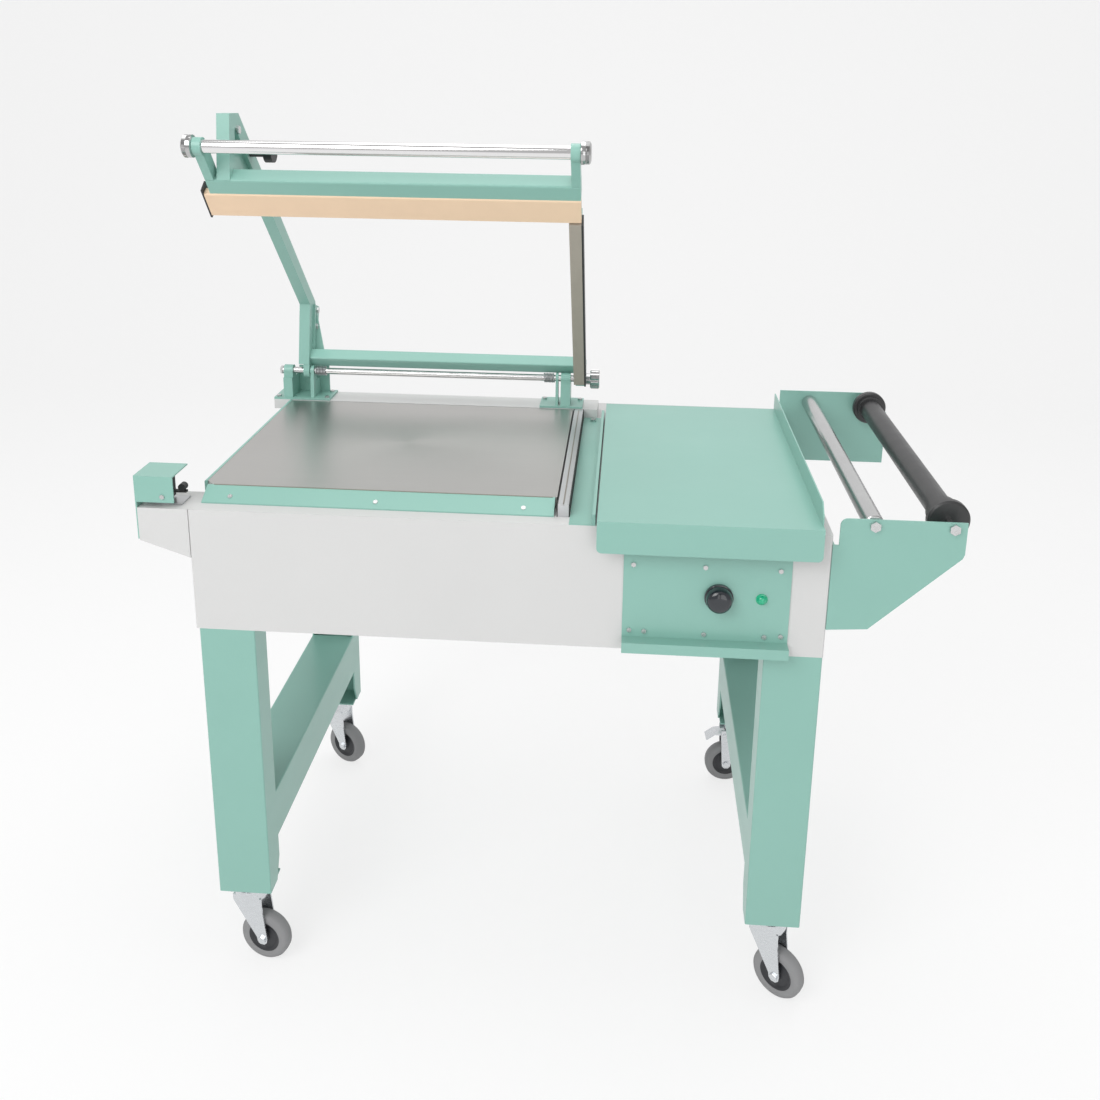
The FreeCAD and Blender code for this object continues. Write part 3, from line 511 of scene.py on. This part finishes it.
class SEALER_OT_finishes(bpy.types.Operator):
    """Builds the shared shader groups and the finish of every slot, and dresses the CAD nodes"""

    bl_idname = "sealer.finishes"
    bl_label = "Finishes"

    def execute(self, context):
        build_finishes(context.scene.sealer_colours)
        edges = dict.fromkeys(FOLDED_NODES, context.scene.sealer_sizes.fold_radius)
        edges.update(dict.fromkeys(SHEET_NODES, SHEET_EDGE_M))
        edges.update(dict.fromkeys(THIN_NODES, THIN_EDGE_M))
        for name, node in NODES.items():
            node.data.materials.clear()
            node.data.materials.append(MATERIALS[SLOT_OF[name]])
            for polygon in node.data.polygons:
                polygon.material_index = 0
                polygon.use_smooth = True
            node.data.set_sharp_from_angle(angle=CAD_SHARP)
            if name in edges:
                merge_flats(node)
                round_edges(node, edges[name])
        return {"FINISHED"}


class SEALER_OT_casters(bpy.types.Operator):
    """Adds the moulded tyres, dished hubs and axle nuts of the four casters"""

    bl_idname = "sealer.casters"
    bl_label = "Casters"

    def execute(self, context):
        for name in CASTER_NAMES:
            roll = JOINTS[name + "_wheel_roll"]
            centre = in_drawing(roll["pos_m"])
            axis = Vector(roll["axis"])
            tyre = piece(name + "_moulded_tyre",
                         lambda bm: lathe(bm, TYRE_PROFILE, centre, axis, TYRE_STEPS),
                         "tyre_grey", name + "_wheel")
            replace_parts(tyre, name + "_tyre")
            hub = piece(name + "_dished_hub",
                        lambda bm: lathe(bm, HUB_PROFILE, centre, axis, ROUND_STEPS),
                        "hub_plastic", name + "_wheel")
            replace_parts(hub, name + "_hub")
            for side in (-1, 1):
                seat = centre + axis * (side * NUT_SEAT)
                piece("%s_axle_nut_%s" % (name, "inner" if side < 0 else "outer"),
                      lambda bm: lathe(bm, NUT_PROFILE, seat, axis * side, HEXAGON),
                      "caster_zinc", name + "_swivel")
        return {"FINISHED"}


class SEALER_OT_controls(bpy.types.Operator):
    """Adds the domed timer knob and the pilot lamp's lens"""

    bl_idname = "sealer.controls"
    bl_label = "Controls"

    def execute(self, context):
        centre = in_drawing(JOINTS["knob_turn"]["pos_m"])
        middle = Vector((centre.x, 0, centre.z))

        def build_knob(bm):
            lathe(bm, KNOB_PROFILE, (centre.x, KNOB_SEAT_Y, centre.z), (0, -1, 0), ROUND_STEPS)
            brick(bm, middle + Vector(POINTER_LOW), middle + Vector(POINTER_HIGH))

        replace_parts(piece("timer_knob", build_knob, "knob_black", "control_knob"), "control_knob")

        low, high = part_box("pilot_lamp")
        lamp = in_drawing((low + high) / 2)
        face = (lamp.x, PANEL_FACE_Y, lamp.z)
        lens = piece("lamp_dome",
                     lambda bm: lathe(bm, LAMP_PROFILE, face, (0, -1, 0), SMALL_STEPS),
                     "lamp_lens", "machine")
        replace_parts(lens, "pilot_lamp")
        return {"FINISHED"}


class SEALER_OT_arm_details(bpy.types.Operator):
    """Adds the ribbed handle caps, the spring coils, the elbow web and the corner gusset"""

    bl_idname = "sealer.arm_details"
    bl_label = "Arm details"

    def execute(self, context):
        def build_caps(bm):
            for x, inward in ((HANDLE_LEFT_X, 1), (HANDLE_RIGHT_X, -1)):
                lathe(bm, CAP_PROFILE, (x, HANDLE_Y, HANDLE_Z), (inward, 0, 0), SMALL_STEPS)

        def build_coils(bm):
            for x in SPRING_STARTS_X:
                coil(bm, (x, HINGE_Y, HINGE_Z), SPRING_RADIUS, SPRING_WIRE, SPRING_TURNS,
                     SPRING_PITCH)

        def build_plates(bm):
            extrude_outline(bm, WEB_OUTLINE, WEB_THICKNESS)
            extrude_outline(bm, GUSSET_OUTLINE, GUSSET_THICKNESS)

        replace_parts(piece("ribbed_caps", build_caps, "cap_chrome", "seal_arm", RAISED), "handle_caps")
        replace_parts(piece("spring_coils", build_coils, "zinc_steel", "machine"), "lift_springs")
        piece("arm_plates", build_plates, "green_paint", "seal_arm", RAISED, smooth=False,
              bevel=PLATE_EDGE_M)
        return {"FINISHED"}


# ---------------------------------------------------------------- stage

FLOOR_REACH = 9.0
BEND_START, BEND_RADIUS, BEND_STEPS = 3.2, 1.6, 12
BACKDROP_HIGH = 7.0
FLOOR_ROUGHNESS, FLOOR_SPECULAR = 0.9, 0.1
FLOOR_GLOW_SHARE = 0.72
ROOM_LIGHT = 0.55
WHITE = (1, 1, 1, 1)

# Each light has a name, a place, the point it aims at, a size and a power.
LIGHTS = (
    ("key_softbox", (-1.5, -2.6, 3.0), (0, 0, 0.75), 2.2, 62),
    ("front_fill", (1.2, -3.6, 1.3), (0.05, 0, 0.7), 2.4, 24),
    ("top_softbox", (0.2, 0.6, 3.4), (0, 0, 0.8), 2.6, 40))

CAMERA_PLACE = (671, -1549, 1514)
CAMERA_YAW, CAMERA_PITCH, CAMERA_ROLL = math.radians(4.01), math.radians(15.11), math.radians(0.72)
CAMERA_SHIFT = -0.1636
SENSOR_WIDTH = 36.0
CLIP_END = 50


def camera_sees_glow(tree, surface, glow, share, surface_output):
    """Mixes a glow over the surface by the share, and feeds the tree's output with it."""
    mixer = add(tree, "ShaderNodeMixShader")
    tree.links.new(share, mixer.inputs[0])
    tree.links.new(surface.outputs[0], mixer.inputs[1])
    tree.links.new(glow.outputs[0], mixer.inputs[2])
    tree.links.new(mixer.outputs[0], surface_output)


def floor_material(colour):
    material = bpy.data.materials.new("studio_floor")
    material.use_nodes = True
    tree = material.node_tree
    shader = tree.nodes["Principled BSDF"]
    shader.inputs["Base Color"].default_value = (*colour, 1)
    shader.inputs["Roughness"].default_value = FLOOR_ROUGHNESS
    shader.inputs["Specular IOR Level"].default_value = FLOOR_SPECULAR
    glow = add(tree, "ShaderNodeEmission")
    glow.inputs["Color"].default_value = WHITE
    glow.inputs["Strength"].default_value = 1.0
    path = add(tree, "ShaderNodeLightPath")
    seen = maths(tree, "MAXIMUM", path.outputs["Is Camera Ray"], path.outputs["Is Glossy Ray"])
    share = maths(tree, "MULTIPLY", seen, FLOOR_GLOW_SHARE)
    camera_sees_glow(tree, shader, glow, share, tree.nodes["Material Output"].inputs["Surface"])
    return material


def build_floor(scene):
    """A floor that bends up into the backdrop."""
    mesh = bpy.data.meshes.new("studio_floor")
    bm = bmesh.new()
    bend = [math.pi / 2 * step / BEND_STEPS for step in range(1, BEND_STEPS + 1)]
    profile = [(-FLOOR_REACH, 0.0), (BEND_START, 0.0)]
    profile += [(BEND_START + BEND_RADIUS * math.sin(a), BEND_RADIUS - BEND_RADIUS * math.cos(a))
                for a in bend]
    profile += [(BEND_START + BEND_RADIUS, BACKDROP_HIGH)]
    rows = [[bm.verts.new((x, y, z)) for x in (-FLOOR_REACH, FLOOR_REACH)] for y, z in profile]
    for near, far in zip(rows, rows[1:]):
        bm.faces.new([near[0], near[1], far[1], far[0]])
    bm.to_mesh(mesh)
    bm.free()
    for polygon in mesh.polygons:
        polygon.use_smooth = True
    floor = bpy.data.objects.new("studio_floor", mesh)
    scene.collection.objects.link(floor)
    mesh.materials.append(floor_material(scene.sealer_colours.floor))


def build_world(scene):
    """White where the camera looks past the floor, and a softer light on everything else."""
    world = bpy.data.worlds.new("studio")
    scene.world = world
    world.use_nodes = True
    tree = world.node_tree
    tree.nodes.clear()
    output = add(tree, "ShaderNodeOutputWorld")
    room = add(tree, "ShaderNodeBackground")
    room.inputs["Color"].default_value = WHITE
    room.inputs["Strength"].default_value = ROOM_LIGHT
    backdrop = add(tree, "ShaderNodeBackground")
    backdrop.inputs["Color"].default_value = WHITE
    backdrop.inputs["Strength"].default_value = 1.0
    seen = add(tree, "ShaderNodeLightPath").outputs["Is Camera Ray"]
    camera_sees_glow(tree, room, backdrop, seen, output.inputs["Surface"])


def build_lights(scene):
    for name, place, aim, size, power in LIGHTS:
        data = bpy.data.lights.new(name, "AREA")
        data.shape = "SQUARE"
        data.size = size
        data.energy = power
        lamp = bpy.data.objects.new(name, data)
        scene.collection.objects.link(lamp)
        lamp.location = place
        lamp.rotation_euler = (Vector(aim) - Vector(place)).to_track_quat("-Z", "Y").to_euler()


def build_camera(scene):
    data = bpy.data.cameras.new("camera")
    data.sensor_width = SENSOR_WIDTH
    data.lens = scene.sealer_sizes.lens
    data.shift_y = CAMERA_SHIFT
    data.dof.use_dof = False
    data.clip_end = CLIP_END
    camera = bpy.data.objects.new("camera", data)
    scene.collection.objects.link(camera)
    forward = Vector((-math.sin(CAMERA_YAW) * math.cos(CAMERA_PITCH),
                      math.cos(CAMERA_YAW) * math.cos(CAMERA_PITCH), -math.sin(CAMERA_PITCH)))
    right = forward.cross(Vector((0, 0, 1))).normalized()
    up = right.cross(forward)
    tilted = right * math.cos(CAMERA_ROLL) + up * math.sin(CAMERA_ROLL)
    crown = tilted.cross(forward)
    camera.matrix_world = Matrix((
        (tilted.x, crown.x, -forward.x, 0), (tilted.y, crown.y, -forward.y, 0),
        (tilted.z, crown.z, -forward.z, 0), (0, 0, 0, 1)))
    camera.location = at(*CAMERA_PLACE)
    scene.camera = camera


class SEALER_OT_stage(bpy.types.Operator):
    """Adds the pale floor, the soft lights, the world and the camera"""

    bl_idname = "sealer.stage"
    bl_label = "Stage and camera"

    def execute(self, context):
        for build in (build_floor, build_world, build_lights, build_camera):
            build(context.scene)
        context.scene.view_settings.view_transform = "Standard"
        return {"FINISHED"}


# ---------------------------------------------------------------- add-on

OPERATORS = (SEALER_OT_finishes, SEALER_OT_casters, SEALER_OT_controls, SEALER_OT_arm_details,
             SEALER_OT_stage)


class SEALER_PT_panel(bpy.types.Panel):
    """Lists the sealer's operators and settings"""

    bl_label = "Sealer"
    bl_idname = "SEALER_PT_panel"
    bl_space_type = "VIEW_3D"
    bl_region_type = "UI"
    bl_category = "Sealer"

    def draw(self, context):
        for operator in OPERATORS:
            self.layout.operator(operator.bl_idname)
        for settings in (context.scene.sealer_colours, context.scene.sealer_sizes):
            for name in settings.bl_rna.properties.keys():
                if name not in ("rna_type", "name"):
                    self.layout.prop(settings, name)


CLASSES = (SealerColours, SealerSizes) + OPERATORS + (SEALER_PT_panel,)


def register():
    for cls in CLASSES:
        bpy.utils.register_class(cls)
    bpy.types.Scene.sealer_colours = bpy.props.PointerProperty(type=SealerColours)
    bpy.types.Scene.sealer_sizes = bpy.props.PointerProperty(type=SealerSizes)


def unregister():
    del bpy.types.Scene.sealer_sizes
    del bpy.types.Scene.sealer_colours
    for cls in reversed(CLASSES):
        bpy.utils.unregister_class(cls)


def main():
    register()
    for operator in OPERATORS:
        group, name = operator.bl_idname.split(".")
        getattr(getattr(bpy.ops, group), name)()


if __name__ == "__main__":
    main()
